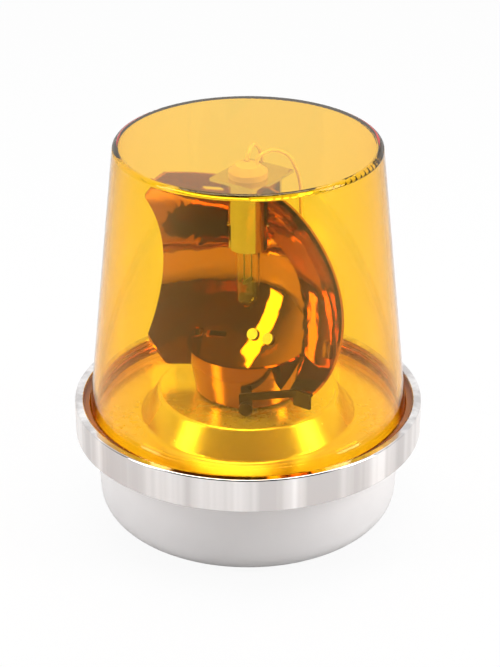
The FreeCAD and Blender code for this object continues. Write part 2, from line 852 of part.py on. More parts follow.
def hub_slots():
    """Two slanting slots where the mirror passes through the cup's wall."""
    low = cell.dish_bottom.value - cell.dish_gap.value
    high = hub_top.value + 1
    near = cell.hub_low_r.value - cell.hub_wall.value
    far = cell.hub_high_r.value
    sheet_gap = cell.dish_sheet.value + cell.dish_gap.value * 2
    outline = [(mirror_back(low, near) - cell.dish_gap.value * 3, low),
               (mirror_back(low, far) + sheet_gap, low),
               (mirror_back(high, far) + sheet_gap, high),
               (mirror_back(high, near) - cell.dish_gap.value * 3, high)]
    half = (far - near) / 2 + cell.hub_wall.value * 2
    across = (far + near) / 2
    return [upright_prism(outline, half, across * side) for side in (-1, 1)]


def hub():
    """A tapered cup, slotted where the reflector passes through its wall."""
    taper = cell.hub_high_r - cell.hub_low_r
    wall = cell.hub_wall
    body = new_body("hub_blank")
    revolve(body, [
        (cell.screw_r, hub_low), (cell.hub_low_r, hub_low), (cell.hub_low_r + taper, hub_top),
        (cell.hub_high_r - wall, hub_top),
        (cell.hub_low_r - wall + taper * cell.hub_floor / cell.hub_height, hub_floor_top),
        (cell.screw_r, hub_floor_top)])
    round_edge(body, cell.hub_low_r, hub_low, cell.hub_wall)
    cuts = hub_slots()
    for lead_side in (-1, 1):
        cuts.append(Part.makeCylinder(cell.lead_hole_r.value, cell.hub_floor.value * 2,
                                      lead_points(lead_side)[-1] - Vector(0, 0, cell.hub_floor.value / 2)))
    tool = shape_feature("hub_slot", cuts[0].fuse(cuts[1:]))
    turn_about_z(tool, beam)
    keep(cut_from(body, tool), "hub_cup")
    screw("hub_screw", [(0, 0)], hub_floor_top, hub_floor_top - hub_low)


def saddle():
    """The moulded seat behind the mirror, fastened by two rivets."""
    low = hub_floor_top.value
    high = low + cell.saddle_height.value
    back = -cell.saddle_back.value + 3
    foot = cell.dish_bottom.value
    steps = 4
    clear = 0.2
    outline = [(back, low), (mirror_back(foot + 3) - clear, low),
               (mirror_back(foot + 3) - clear, foot + 3)]
    for step in range(1, steps + 1):
        level = foot + 3 + (high - foot - 3) * step / steps
        outline.append((mirror_back(level) - clear, level))
    outline.append((back, high))
    block = upright_prism(outline, cell.saddle_width.value / 2)
    rivets = []
    for point, normal in rivet_places():
        shank = rivet_shank(point, normal)
        block = block.cut(shank)
        head = Part.makeCylinder(cell.rivet_head_r.value, cell.rivet_head_thick.value,
                                 point + normal * 0.12, normal)
        rivets.append(shank.fuse(head))
    beam_feature("reflector_saddle", block)
    beam_feature("reflector_rivets", Part.makeCompound(rivets))


def brace_strap():
    """A strip from a standoff on the hub's front to the reflector's lower corner."""
    thick, tall = cell.strap_thick.value, cell.strap_height.value
    bearing = cell.strap_turn.value - cell.beam_turn.value
    screw_level = hub_low.value + cell.strap_screw_above.value
    rise = (screw_level - hub_low.value) / cell.hub_height.value
    wall_r = cell.hub_low_r.value + rise * (cell.hub_high_r.value - cell.hub_low_r.value)
    strap_r = wall_r + cell.strap_standoff.value
    out = point_on(1, bearing, 0)
    along = Vector(-out.y, out.x, 0)
    foot = out * strap_r + Vector(0, 0, screw_level)
    reach = rim_reach()
    tab_low = cell.dish_bottom.value + 0.5
    tab_side = cell.strap_tab_in.value
    tab = beam_box(reach, reach + thick, tab_side, tab_side + cell.strap_tab_width.value,
                   tab_low, tab_low + cell.strap_tab_height.value)
    leg_half = 3.0
    bar_level = screw_level + cell.strap_rise.value
    leg = Part.makeBox(thick, leg_half * 2, bar_level - screw_level + leg_half + tall / 2,
                       Vector(0, -leg_half, -leg_half))
    leg.Placement = Placement(foot, Rotation(Vector(0, 0, 1), bearing))
    start = foot + along * -leg_half + Vector(0, 0, bar_level - screw_level)
    end = Vector(reach, tab_side + thick, tab_low + cell.strap_tab_height.value - tall / 2)
    bar = strip(start, end, thick, tall)
    hole = Part.makeCylinder(cell.screw_r.value, strap_r * 2, Vector(0, 0, screw_level), out)
    solid = leg.fuse([bar, tab]).removeSplitter().cut(hole)
    beam_feature("brace_strap", solid)
    seat_r = wall_r - 1
    cup = Part.makeCone(cell.hub_low_r.value, cell.hub_high_r.value, cell.hub_height.value,
                        Vector(0, 0, hub_low.value))
    spacer = Part.makeCylinder(cell.strap_standoff_r.value, strap_r - seat_r,
                               out * seat_r + Vector(0, 0, screw_level), out).cut([hole, cup])
    beam_feature("strap_standoff", spacer)
    length = strap_r + thick - seat_r
    tip = out * seat_r + Vector(0, 0, screw_level)
    shank = Part.makeCylinder(cell.screw_r.value, length, tip, out)
    head = Part.makeCylinder(cell.screw_head_r.value, cell.screw_head_thick.value,
                             tip + out * length, out)
    beam_feature("strap_screw", shank.cut(cup).fuse(head))


def strip(start, end, thick, tall):
    """A flat strip on edge between two points."""
    run = end - start
    flat = Vector(run.x, run.y, 0)
    side = Vector(flat.y, -flat.x, 0).normalize() * thick
    half = Vector(0, 0, tall / 2)
    corners = [start - half, end - half, end + half, start + half]
    face = Part.Face(Part.makePolygon(corners + corners[:1]))
    return face.extrude(side)


# ---------------------------------------------------------------- socket and lamp

pin_level = cell.socket_low + cell.pin_above_rim
socket_top = cell.socket_low + cell.socket_length
cap_top = cell.cap_low + cell.cap_length
contact_top = cap_top + 1
insulator_low = cap_top + 2
cap_bore_r = cell.glass_r + cell.thread_gap
cap_bore_top = cell.cap_low + cell.cap_length / 2
plunger_top = contact_top + cell.plunger_length


def socket():
    inner = cell.socket_r - cell.socket_wall
    body = new_body("socket_blank")
    revolve(body, [(inner, cell.socket_low), (cell.socket_r, cell.socket_low),
                   (cell.socket_r, socket_top), (inner, socket_top)])
    half = cell.slot_side.value / 2
    spread = math.degrees(math.asin(half / cell.socket_r.value))
    outer = cell.socket_r.value + 1
    cuts = []
    for start in (0, 180):
        first = cell.slot_turn.value + start
        leg = Part.makeCylinder(outer, half * 2, Vector(0, 0, pin_level.value - half),
                                Vector(0, 0, 1), cell.twist.value + spread * 2)
        leg.rotate(Vector(0, 0, 0), Vector(0, 0, 1), first - spread)
        mouth = Part.makeBox(outer, half * 2, pin_level.value + half - cell.socket_low.value + 1,
                             Vector(0, -half, cell.socket_low.value - 1))
        mouth.rotate(Vector(0, 0, 0), Vector(0, 0, 1), first + cell.twist.value)
        cuts.extend([leg, mouth])
    tool = shape_feature("socket_slots", cuts[0].fuse(cuts[1:]))
    turn_about_z(tool, beam)
    keep(cut_from(body, tool), "socket_shell")
    bore = cell.plunger_r + cell.running_gap
    tube("socket_insulator", bore, inner, insulator_low, cell.insulator_thick)
    turned_part("socket_cap", [
        (0, socket_top), (cell.socket_r, socket_top),
        (cell.socket_r, socket_top + cell.socket_cap_height * 0.6),
        (cell.socket_r * 0.6, socket_top + cell.socket_cap_height),
        (0, socket_top + cell.socket_cap_height)])
    plunger = part_cylinder(0, 0, contact_top, cell.plunger_r, cell.plunger_length)
    keep(plunger, "contact_plunger")
    wire = cell.spring_wire_r.value
    height = socket_top.value - plunger_top.value - wire * 2
    coil = coil_wire(cell.plunger_r.value - wire, height, height / cell.spring_turns.value, wire)
    coil.translate(Vector(0, 0, plunger_top.value + wire))
    keep(shape_feature("plunger_spring", coil), "plunger_spring")


def coil_wire(radius, height, pitch, wire_r):
    """A round wire wound about the vertical axis."""
    path = Part.Wire(Part.makeHelix(pitch, height, radius))
    start = path.Edges[0].valueAt(path.Edges[0].FirstParameter)
    heading = path.Edges[0].tangentAt(path.Edges[0].FirstParameter)
    section = Part.Wire(Part.makeCircle(wire_r, start, heading))
    return path.makePipeShell([section], True, True)


def socket_bracket():
    """A plate on the reflector's top edge, with a leg down to the mirror's back."""
    half = cell.bracket_width.value / 2
    low, thick = cell.dish_top.value, cell.bracket_thick.value
    back = -cell.bracket_back.value
    plate = beam_box(back, cell.bracket_front.value, -half, half, low, low + thick)

    def seat(reach):
        """The height at which a leg at this reach meets the mirror's back."""
        focal = cell.focal_length.value
        depth = reach + focal + cell.dish_sheet.value
        return cell.focus_height.value + math.sqrt(4 * focal * depth)

    leg = upright_prism([(back, low), (back, seat(back)), (back + thick, seat(back + thick)),
                         (back + thick, low)], half / 2)
    solid = plate.fuse(leg).removeSplitter()
    solid = solid.cut(Part.makeCylinder(cell.socket_r.value, 40, Vector(0, 0, low - 20)))
    beam_feature("socket_bracket", solid)


def lamp():
    body = new_body("lamp_cap")
    revolve(body, [
        (cap_bore_r, cell.cap_low), (cell.cap_r, cell.cap_low), (cell.cap_r, cap_top),
        (cell.plunger_r, cap_top), (cell.plunger_r, contact_top), (0, contact_top),
        (0, cap_bore_top), (cap_bore_r, cap_bore_top)])
    keep(body, "lamp_cap")
    pins = []
    inside = cell.cap_r.value
    for start in (0, 180):
        heading = point_on(1, cell.slot_turn.value + start, 0)
        pin = Part.makeCylinder(cell.pin_r.value, cell.pin_reach.value - inside,
                                heading * inside + Vector(0, 0, pin_level.value), heading)
        core = Part.makeCylinder(cell.pin_r.value, 2, heading * (inside - 0.5)
                                 + Vector(0, 0, pin_level.value), heading)
        hull = Part.makeCylinder(inside, cell.cap_length.value, Vector(0, 0, cell.cap_low.value))
        pins.append(pin.fuse(core).removeSplitter().cut(hull))
    beam_feature("lamp_pins", Part.makeCompound(pins))

    straight_low = cell.glass_tip + cell.glass_r
    length = cap_bore_top - straight_low
    outer = join([part_cylinder(0, 0, straight_low, cell.glass_r, length),
                  part_sphere(straight_low, cell.glass_r)])
    hollow_r = cell.glass_r - cell.glass_wall
    inner = join([part_cylinder(0, 0, straight_low, hollow_r, length - cell.glass_wall),
                  part_sphere(straight_low, hollow_r)])
    keep(cut_from(outer, inner), "lamp_glass")

    coil_r, wire = cell.filament_r.value, cell.filament_wire_r.value
    span = cell.filament_length.value
    coil = coil_wire(coil_r, span, span / 8, wire)
    coil.rotate(Vector(0, 0, 0), Vector(0, 1, 0), 90)
    coil.translate(Vector(-span / 2, 0, cell.focus_height.value))
    top = cap_bore_top.value - cell.glass_wall.value
    posts = []
    for end in (-span / 2, span / 2):
        posts.append(Part.makeCylinder(wire * 1.6, top - cell.focus_height.value,
                                       Vector(end, 0, cell.focus_height.value)))
    beam_feature("lamp_filament", Part.makeCompound([coil] + posts))


def part_sphere(level, radius):
    ball = doc.addObject("Part::Sphere", "Ball")
    bind(ball, "Radius", radius)
    bind(ball, "Placement.Base.z", level)
    return ball


# ---------------------------------------------------------------- wires

def rounded_path(points):
    """Straight runs joined by tangent arcs."""
    edges, last = [], points[0]
    for before, corner, after in zip(points, points[1:], points[2:]):
        back, ahead = before - corner, after - corner
        shorter = min(back.Length, ahead.Length)
        back.normalize()
        ahead.normalize()
        half_turn = (math.pi - back.getAngle(ahead)) / 2
        trim = 0.45 * shorter
        radius = trim / math.tan(half_turn)
        start, end = corner + back * trim, corner + ahead * trim
        to_middle = (back + ahead).normalize()
        middle = corner + to_middle * (radius / math.cos(half_turn) - radius)
        edges.append(Part.makeLine(last, start))
        edges.append(Part.Arc(start, middle, end).toShape())
        last = end
    edges.append(Part.makeLine(last, points[-1]))
    return Part.Wire(edges)


def wire_along(points, radius):
    path = rounded_path(points)
    heading = path.Edges[0].tangentAt(path.Edges[0].FirstParameter)
    section = Part.Wire(Part.makeCircle(radius, points[0], heading))
    solid = path.makePipeShell([section], True, False)
    expected = path.Length * math.pi * radius ** 2
    if abs(solid.Volume - expected) > 0.01 * expected:
        raise RuntimeError("a wire's volume is not its section times its length")
    return solid


def lead_points(side):
    """A lamp lead's route down the back of the mirror, in the reflector's frame."""
    cap = socket_top.value + cell.socket_cap_height.value
    back = -cell.focal_length.value - cell.dish_sheet.value - 3.5
    focus = cell.focus_height.value
    return [
        Vector(-3, side * 2.5, cap), Vector(-4.5, side * 3, cap + 3.5),
        Vector(-12, side * 5.5, cap + 5), Vector(-21, side * 8.5, cap),
        Vector(back, side * 10, cap - 14), Vector(back - 0.6, side * 10.5, focus + 22),
        Vector(back, side * 10.5, focus), Vector(back + 2.5, side * 10.5, focus - 18),
        Vector(-21.5, side * 10.5, hub_top.value), Vector(-18.5, side * 10.5, hub_floor_top.value + 8),
        Vector(-18, side * 10.3, hub_low.value)]


def leads():
    wires = [wire_along(lead_points(side), cell.lead_r.value) for side in (-1, 1)]
    beam_feature("lamp_leads", Part.makeCompound(wires))
    radius = cell.lead_r.value
    top = chassis_top.value + cell.holder_height.value
    entry_x = cell.terminal_at.value + 0.1
    pitch = cell.terminal_pitch.value
    level = cell.base_floor.value + 4.5
    wires = []
    for number, way_y in enumerate((pitch * 1.5, pitch * 0.5)):
        shift = number * 2.4
        wires.append(wire_along([
            Vector(entry_x, way_y, level), Vector(entry_x - 5, way_y + 1, level),
            Vector(entry_x - 7, way_y + 8, level + 4),
            Vector(14 + shift, 31 - shift, cell.chassis_level.value - 9),
            Vector(18 + shift, 36.5, cell.chassis_level.value),
            Vector(15 + shift, 37.5, chassis_top.value + 7),
            Vector(8 + shift, 34, chassis_top.value + 9.5),
            Vector(3 - number * 6, 31, chassis_top.value + 9.5),
            Vector(3 - number * 6, holder_screw_y.value + cell.holder_depth.value / 2,
                   chassis_top.value + 9.5)], radius))
    keep(shape_feature("brush_leads", Part.makeCompound(wires)), "brush_leads")
    can_face = -motor_offset.value + cell.motor_r.value
    over_boss = cell.entry_length.value + 12.3
    wires = []
    for number, way_y in enumerate((-pitch * 1.5, -pitch * 0.5)):
        aside = number * 2.6
        wires.append(wire_along([
            Vector(entry_x, way_y, level), Vector(entry_x - 6, way_y - 1, level + 1),
            Vector(15, aside - 14, over_boss - 1.5), Vector(5, aside - 18, over_boss),
            Vector(-6, aside - 15.5, over_boss + 0.6), Vector(-13, aside - 8, over_boss + 0.3),
            Vector(can_face - 1.2, aside - 3, over_boss)], radius))
    can = Part.makeCylinder(cell.motor_r.value, cell.motor_height.value, Vector(
        -motor_offset.value, 0,
        cell.chassis_level.value - cell.gearbox_height.value - cell.motor_height.value))
    trimmed = [wire.cut(can) for wire in wires]
    keep(shape_feature("motor_leads", Part.makeCompound(trimmed)), "motor_leads")


# ---------------------------------------------------------------- dome and ring

def dome():
    body = new_body("dome")
    revolve(body, [
        (0, cell.dome_height), (cell.dome_top_r, cell.dome_height),
        (cell.dome_foot_r, dome_flange_top), (flange_r, dome_flange_top), (flange_r, dome_low),
        (dome_inner_foot_r, dome_low), (dome_inner_top_r, cell.dome_height - cell.dome_wall),
        (0, cell.dome_height - cell.dome_wall)])
    round_edge(body, cell.dome_top_r, cell.dome_height, cell.dome_edge)
    round_edge(body, dome_inner_top_r, cell.dome_height - cell.dome_wall, cell.dome_edge / 2)
    round_edge(body, cell.dome_foot_r, dome_flange_top, cell.lug_height)
    middle = cell.dome_foot_r + (lip_r - cell.dome_foot_r) / 2
    for side in (-1, 1):
        pad(body, lambda sketch: draw_box(sketch, middle, 0, cell.lug_width, cell.lug_length),
            dome_flange_top, cell.lug_height, as_dim(270) + cell.lug_spread * side)
    keep(body, "dome")
    tube("dome_gasket", dome_inner_foot_r, flange_r - 0.5, pedestal_flange_top, cell.gasket_thick)


def clamp_ring():
    body = new_body("ring_blank")
    revolve(body, [
        (ring_bore, ring_low), (cell.ring_r, ring_low), (cell.ring_r, ring_top),
        (lip_r, ring_top), (lip_r, dome_flange_top), (ring_bore, dome_flange_top)])
    round_edge(body, cell.ring_r, ring_top, cell.ring_edge)
    round_edge(body, cell.ring_r, ring_low, cell.ring_edge / 2)
    round_edge(body, lip_r, ring_top, cell.ring_edge)
    level = cell.base_height - cell.base_flange_thick / 2
    hole = part_cylinder(0, ring_bore - 1, level, cell.screw_r, cell.ring_wall * 2)
    hole.Placement = Placement(hole.Placement.Base, Rotation(Vector(1, 0, 0), -90))
    keep(cut_from(body, hole), "clamp_ring")
    set_screw = part_cylinder(0, ring_bore - cell.thread_gap / 2, level, cell.screw_r,
                              cell.ring_wall)
    set_screw.Placement = Placement(set_screw.Placement.Base, Rotation(Vector(1, 0, 0), -90))
    keep(set_screw, "ring_lock_screw")


# ---------------------------------------------------------------- the whole beacon

base_housing()
pedestal()
chassis_plate()
screw("chassis_screws", around(cell.post_circle_r, cell.post_turn, cell.post_count),
      chassis_top, cell.screw_length)
spindle_group()
motor()
brush_holder()
terminal_block()
gears()
hub()
reflector()
saddle()
brace_strap()
socket()
socket_bracket()
lamp()
leads()
dome()
clamp_ring()
doc.recompute()

for item in doc.Objects:
    if "Invalid" in item.State or "Error" in item.State:
        raise RuntimeError(f"{item.Label} failed: {item.State}")
for item in made:
    if item.Shape.isNull() or not item.Shape.isValid():
        raise RuntimeError(f"{item.Label} has no valid shape")

os.makedirs("parts", exist_ok=True)
for item in made:
    item.Shape.exportStep(f"parts/{item.Label}.step")
    print(f"{item.Label}: {len(item.Shape.Solids)} solid(s), {item.Shape.Volume:.0f} mm3")
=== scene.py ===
import bpy
import json
import math
from mathutils import Matrix, Vector


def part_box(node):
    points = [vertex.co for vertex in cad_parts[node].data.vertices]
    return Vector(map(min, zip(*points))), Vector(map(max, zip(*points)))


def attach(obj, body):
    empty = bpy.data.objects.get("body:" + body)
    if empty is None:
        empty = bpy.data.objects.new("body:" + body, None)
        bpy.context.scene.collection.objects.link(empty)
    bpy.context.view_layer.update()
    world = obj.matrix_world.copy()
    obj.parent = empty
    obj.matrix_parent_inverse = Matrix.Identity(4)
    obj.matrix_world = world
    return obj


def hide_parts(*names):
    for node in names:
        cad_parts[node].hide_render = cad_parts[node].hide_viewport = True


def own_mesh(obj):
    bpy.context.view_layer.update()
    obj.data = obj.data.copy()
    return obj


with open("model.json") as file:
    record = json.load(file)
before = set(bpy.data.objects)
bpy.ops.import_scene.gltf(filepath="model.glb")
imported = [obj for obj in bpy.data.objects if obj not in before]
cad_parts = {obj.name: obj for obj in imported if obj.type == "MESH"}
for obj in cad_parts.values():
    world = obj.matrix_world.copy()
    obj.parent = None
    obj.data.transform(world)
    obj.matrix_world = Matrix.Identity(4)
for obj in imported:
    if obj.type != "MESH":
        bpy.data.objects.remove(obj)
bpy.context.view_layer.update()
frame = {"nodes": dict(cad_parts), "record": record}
nodes = frame["nodes"]
scene = bpy.context.scene
mm = 0.001


# colours and nodes

def linear(hexColour):
    parts = [int(hexColour[i:i + 2], 16) / 255 for i in (1, 3, 5)]
    return tuple(c / 12.92 if c <= 0.04045 else ((c + 0.055) / 1.055) ** 2.4 for c in parts) + (1.0,)


def addNode(tree, kind, settings=None, inputs=None, links=None):
    # one node: attributes, socket values, and {input: (node, output)} links
    node = tree.nodes.new(kind)
    for name, value in (settings or {}).items():
        setattr(node, name, value)
    for name, value in (inputs or {}).items():
        node.inputs[name].default_value = value
    for name, (source, output) in (links or {}).items():
        tree.links.new(source.outputs[output], node.inputs[name])
    return node


def newMaterial(name):
    material = bpy.data.materials.new(name)
    material.use_nodes = True
    tree = material.node_tree
    tree.nodes.clear()
    shader = tree.nodes.new("ShaderNodeBsdfPrincipled")
    output = tree.nodes.new("ShaderNodeOutputMaterial")
    tree.links.new(shader.outputs[0], output.inputs[0])
    return material, tree, shader


def outputOf(tree):
    return next(n for n in tree.nodes if n.type == "OUTPUT_MATERIAL")


def objectPlace(tree, scale=(1, 1, 1)):
    # object coordinates are metres on every piece, so a scale is 1 / size in metres
    coords = addNode(tree, "ShaderNodeTexCoord")
    return addNode(tree, "ShaderNodeMapping", inputs={"Scale": scale},
                   links={"Vector": (coords, "Object")})


def roughBetween(tree, shader, noise, low, high):
    spread = addNode(tree, "ShaderNodeMapRange", inputs={"To Min": low, "To Max": high},
                     links={"Value": (noise, "Fac")})
    tree.links.new(spread.outputs["Result"], shader.inputs["Roughness"])


def dent(tree, shader, noise, depthMm):
    bump = addNode(tree, "ShaderNodeBump", inputs={"Strength": 1.0, "Distance": depthMm * mm},
                   links={"Height": (noise, "Fac")})
    tree.links.new(bump.outputs["Normal"], shader.inputs["Normal"])


def addGrain(tree, shader, place, grainMm, depthMm, roughLow, roughHigh):
    # grain that both roughens the gloss a little and dents the surface
    noise = addNode(tree, "ShaderNodeTexNoise",
                    inputs={"Scale": 1 / (grainMm * mm), "Detail": 3.0, "Roughness": 0.55},
                    links={"Vector": (place, "Vector")})
    roughBetween(tree, shader, noise, roughLow, roughHigh)
    dent(tree, shader, noise, depthMm)
    return noise


def colourBetween(tree, shader, source, output, first, second):
    mix = addNode(tree, "ShaderNodeMix", {"data_type": "RGBA"}, links={"Factor": (source, output)})
    mix.inputs["A"].default_value = linear(first)
    mix.inputs["B"].default_value = linear(second)
    tree.links.new(mix.outputs["Result"], shader.inputs["Base Color"])


def setShader(shader, **values):
    names = {"colour": "Base Color", "metal": "Metallic", "rough": "Roughness", "ior": "IOR",
             "transmission": "Transmission Weight", "coat": "Coat Weight",
             "coatRough": "Coat Roughness", "tint": "Specular Tint"}
    for key, value in values.items():
        shader.inputs[names[key]].default_value = value


# materials, each named for what the part is really made of

def paintedDieCasting():
    # stove enamel on a zinc casting: pale warm grey, soft gloss, faint orange-peel
    look = {"light": "#e8e5e4", "dark": "#dedbdb", "peelMm": 1.3, "depthMm": 0.02, "cloudMm": 22,
            "roughLow": 0.30, "roughHigh": 0.42, "coat": 0.25, "coatRough": 0.12}
    material, tree, shader = newMaterial("stove_enamel_grey")
    place = objectPlace(tree)
    addGrain(tree, shader, place, look["peelMm"], look["depthMm"], look["roughLow"], look["roughHigh"])
    cloud = addNode(tree, "ShaderNodeTexNoise",
                    inputs={"Scale": 1 / (look["cloudMm"] * mm), "Detail": 2.0},
                    links={"Vector": (place, "Vector")})
    colourBetween(tree, shader, cloud, "Fac", look["dark"], look["light"])
    setShader(shader, coat=look["coat"], coatRough=look["coatRough"])
    return material


def chromePlate():
    # bright nickel-chrome plate on a spun ring: a mirror whose colour carries upright streaks of painted
    # highlight, lighter bands that stand in for reflected light; the same streaks also vary its roughness
    # bright is the painted highlight colour of the streaks, dull the plain chrome between them
    look = {"bright": "#fbf9f8", "dull": "#cfcbca", "paintedStreakMm": 16.0, "dullBelow": 0.42,
            "brightAbove": 0.66, "roughLow": 0.05, "roughHigh": 0.16, "rippleMm": 9.0, "depthMm": 0.012}
    material, tree, shader = newMaterial("chrome_plate")
    place = objectPlace(tree)
    upright = objectPlace(tree, (1, 1, 0))
    # painted highlight: a noise stretched upright lightens the chrome's colour in vertical streaks round
    # the ring
    paintedStreaks = addNode(tree, "ShaderNodeTexNoise",
                     inputs={"Scale": 1 / (look["paintedStreakMm"] * mm), "Detail": 3.0, "Roughness": 0.6},
                     links={"Vector": (upright, "Vector")})
    spread = addNode(tree, "ShaderNodeMapRange",
                     inputs={"From Min": look["dullBelow"], "From Max": look["brightAbove"]},
                     links={"Value": (paintedStreaks, "Fac")})
    colourBetween(tree, shader, spread, "Result", look["dull"], look["bright"])
    roughBetween(tree, shader, paintedStreaks, look["roughLow"], look["roughHigh"])
    ripple = addNode(tree, "ShaderNodeTexNoise",
                     inputs={"Scale": 1 / (look["rippleMm"] * mm), "Detail": 2.0},
                     links={"Vector": (place, "Vector")})
    dent(tree, shader, ripple, look["depthMm"])
    setShader(shader, metal=1.0)
    return material


def lacqueredMirror():
    # aluminium vapour on a pressed dish under golden lacquer: deep mirror, rippled by the pressing
    look = {"lacquer": "#cf8c40", "rippleMm": 13.0, "twist": 0.6, "depthMm": 0.22,
            "roughLow": 0.03, "roughHigh": 0.09}
    material, tree, shader = newMaterial("lacquered_mirror")
    place = objectPlace(tree)
    ripple = addNode(tree, "ShaderNodeTexNoise",
                     inputs={"Scale": 1 / (look["rippleMm"] * mm), "Detail": 1.5,
                             "Distortion": look["twist"]},
                     links={"Vector": (place, "Vector")})
    roughBetween(tree, shader, ripple, look["roughLow"], look["roughHigh"])
    dent(tree, shader, ripple, look["depthMm"])
    setShader(shader, colour=linear(look["lacquer"]), metal=1.0)
    return material


def letLightThrough(tree, shader, passed=0.96):
    # lamp light crosses the clear wall straight, dyed by the volume inside it
    rays = addNode(tree, "ShaderNodeLightPath")
    clear = addNode(tree, "ShaderNodeBsdfTransparent", inputs={"Color": (passed, passed, passed, 1)})
    mix = addNode(tree, "ShaderNodeMixShader", links={"Fac": (rays, "Is Shadow Ray")})
    tree.links.new(shader.outputs[0], mix.inputs[1])
    tree.links.new(clear.outputs[0], mix.inputs[2])
    tree.links.new(mix.outputs[0], outputOf(tree).inputs["Surface"])


def amberPolycarbonate():
    # clear moulded polycarbonate dyed through: glossy, amber deepens where the wall is edge-on
    look = {"dye": "#fff000", "densityPerM": 700.0, "gloss": "#ffd890", "ior": 1.58, "flowMm": 26.0,
            "roughLow": 0.015, "roughHigh": 0.03}
    material, tree, shader = newMaterial("amber_polycarbonate")
    place = objectPlace(tree)
    flow = addNode(tree, "ShaderNodeTexNoise",
                   inputs={"Scale": 1 / (look["flowMm"] * mm), "Detail": 1.0},
                   links={"Vector": (place, "Vector")})
    roughBetween(tree, shader, flow, look["roughLow"], look["roughHigh"])
    setShader(shader, colour=(1, 1, 1, 1), ior=look["ior"], transmission=1.0, tint=linear(look["gloss"]))
    dye = addNode(tree, "ShaderNodeVolumeAbsorption", inputs={"Density": look["densityPerM"]})
    dye.inputs["Color"].default_value = linear(look["dye"])
    tree.links.new(dye.outputs[0], outputOf(tree).inputs["Volume"])
    letLightThrough(tree, shader)
    return material


def glassCapsule():
    # thin quartz capsule: clear, bright only along its edges
    quartzIor = 1.46
    material, tree, shader = newMaterial("fused_quartz")
    setShader(shader, colour=(1, 1, 1, 1), ior=quartzIor, transmission=1.0, rough=0.0)
    letLightThrough(tree, shader)
    return material


def metalFinish(name, hexColour, roughLow, roughHigh, grainMm=0.8, depthMm=0.01):
    material, tree, shader = newMaterial(name)
    addGrain(tree, shader, objectPlace(tree), grainMm, depthMm, roughLow, roughHigh)
    setShader(shader, colour=linear(hexColour), metal=1.0)
    return material


def mouldedFinish(name, light, dark, roughLow, roughHigh, grainMm=0.9, depthMm=0.02):
    material, tree, shader = newMaterial(name)
    noise = addGrain(tree, shader, objectPlace(tree), grainMm, depthMm, roughLow, roughHigh)
    colourBetween(tree, shader, noise, "Fac", dark, light)
    return material


def varnishedSheet():
    # bright zinc sheet under thin white varnish: a broad soft sheen over a pale ground
    look = {"light": "#f0ece4", "dark": "#e2ddd4", "metal": 0.72, "grainMm": 3.0, "depthMm": 0.01,
            "roughLow": 0.20, "roughHigh": 0.30}
    material, tree, shader = newMaterial("varnished_zinc_sheet")
    noise = addGrain(tree, shader, objectPlace(tree), look["grainMm"], look["depthMm"],
                     look["roughLow"], look["roughHigh"])
    colourBetween(tree, shader, noise, "Fac", look["dark"], look["light"])
    setShader(shader, metal=look["metal"])
    return material


finish = {
    "housing_paint": paintedDieCasting(),
    "pedestal_steel": varnishedSheet(),
    "ring_chrome": chromePlate(),
    "dome_amber": amberPolycarbonate(),
    "mirror_metal": lacqueredMirror(),
    "zinc_steel": metalFinish("zinc_plated_steel", "#b9b9b2", 0.24, 0.42),
    "dark_steel": metalFinish("blackened_spring_steel", "#3a3532", 0.28, 0.42),
    "bearing_bronze": metalFinish("sintered_bronze", "#9a7044", 0.35, 0.5),
    "contact_brass": metalFinish("bright_brass", "#cfa560", 0.16, 0.3),
    "white_nylon": mouldedFinish("natural_nylon", "#ece8db", "#dfdaca", 0.42, 0.55),
    "black_plastic": mouldedFinish("black_phenolic", "#1d1b1a", "#121110", 0.35, 0.5),
    "carbon": mouldedFinish("pressed_carbon", "#2a2a2b", "#191919", 0.45, 0.6, 0.3),
    "gasket_rubber": mouldedFinish("silicone_foam", "#d8c4a4", "#c4ae8c", 0.7, 0.85, 0.5),
    "lamp_glass": glassCapsule(),
    "filament_wire": metalFinish("tungsten_wire", "#8d8a86", 0.3, 0.4),
    "lead_sleeve": mouldedFinish("silicone_sleeve", "#e6dcc0", "#d8ccae", 0.45, 0.6),
}
for part in frame["record"]["subparts"]:
    for materialSlot in nodes[part["node"]].material_slots:
        materialSlot.material = finish[part["material_slot"]]
nickel = metalFinish("nickel_plated_brass", "#d9d2c3", 0.08, 0.2)
for name in ("socket_shell", "lamp_cap", "lamp_pins", "contact_plunger", "socket_bracket"):
    nodes[name].material_slots[0].material = nickel
urea = mouldedFinish("urea_moulding", "#cdbfae", "#baab98", 0.35, 0.5)
nodes["socket_cap"].material_slots[0].material = urea


# Geometry Nodes: a tree's sockets, and a mesh made by a tree

def newTree(name, start, sizeNames, result):
    # a tree that takes a start geometry, sizes and a finish, and gives back one geometry
    tree = bpy.data.node_groups.new(name, "GeometryNodeTree")
    tree.interface.new_socket(start, in_out="INPUT", socket_type="NodeSocketGeometry")
    for sizeName in sizeNames:
        tree.interface.new_socket(sizeName, in_out="INPUT", socket_type="NodeSocketFloat")
    tree.interface.new_socket("Finish", in_out="INPUT", socket_type="NodeSocketMaterial")
    tree.interface.new_socket(result, in_out="OUTPUT", socket_type="NodeSocketGeometry")
    return tree


def growMesh(piece, tree, values):
    # the tree's result at these values becomes the piece's own plain mesh
    maker = piece.modifiers.new(tree.name, "NODES")
    maker.node_group = tree
    sockets = {item.name: item.identifier for item in tree.interface.items_tree if item.in_out == "INPUT"}
    for name, value in values.items():
        maker[sockets[name]] = value
    shown = piece.evaluated_get(bpy.context.evaluated_depsgraph_get())
    plain = bpy.data.meshes.new_from_object(shown)
    piece.modifiers.clear()
    piece.data = plain


# slotted pan-head screws, one tree for every set

screwHead = {"Head Radius": 3.2 * mm, "Crown Radius": 2.6 * mm, "Head Height": 2.2 * mm,
             "Slot Width": 0.8 * mm, "Slot Depth": 0.9 * mm, "Shank Radius": 1.55 * mm}
screwMake = {"headSides": 40, "shankSides": 24, "bladeLength": 10 * mm, "turnSeed": 7, "turnMax": 3.1,
             "sameScrew": 7 * mm}


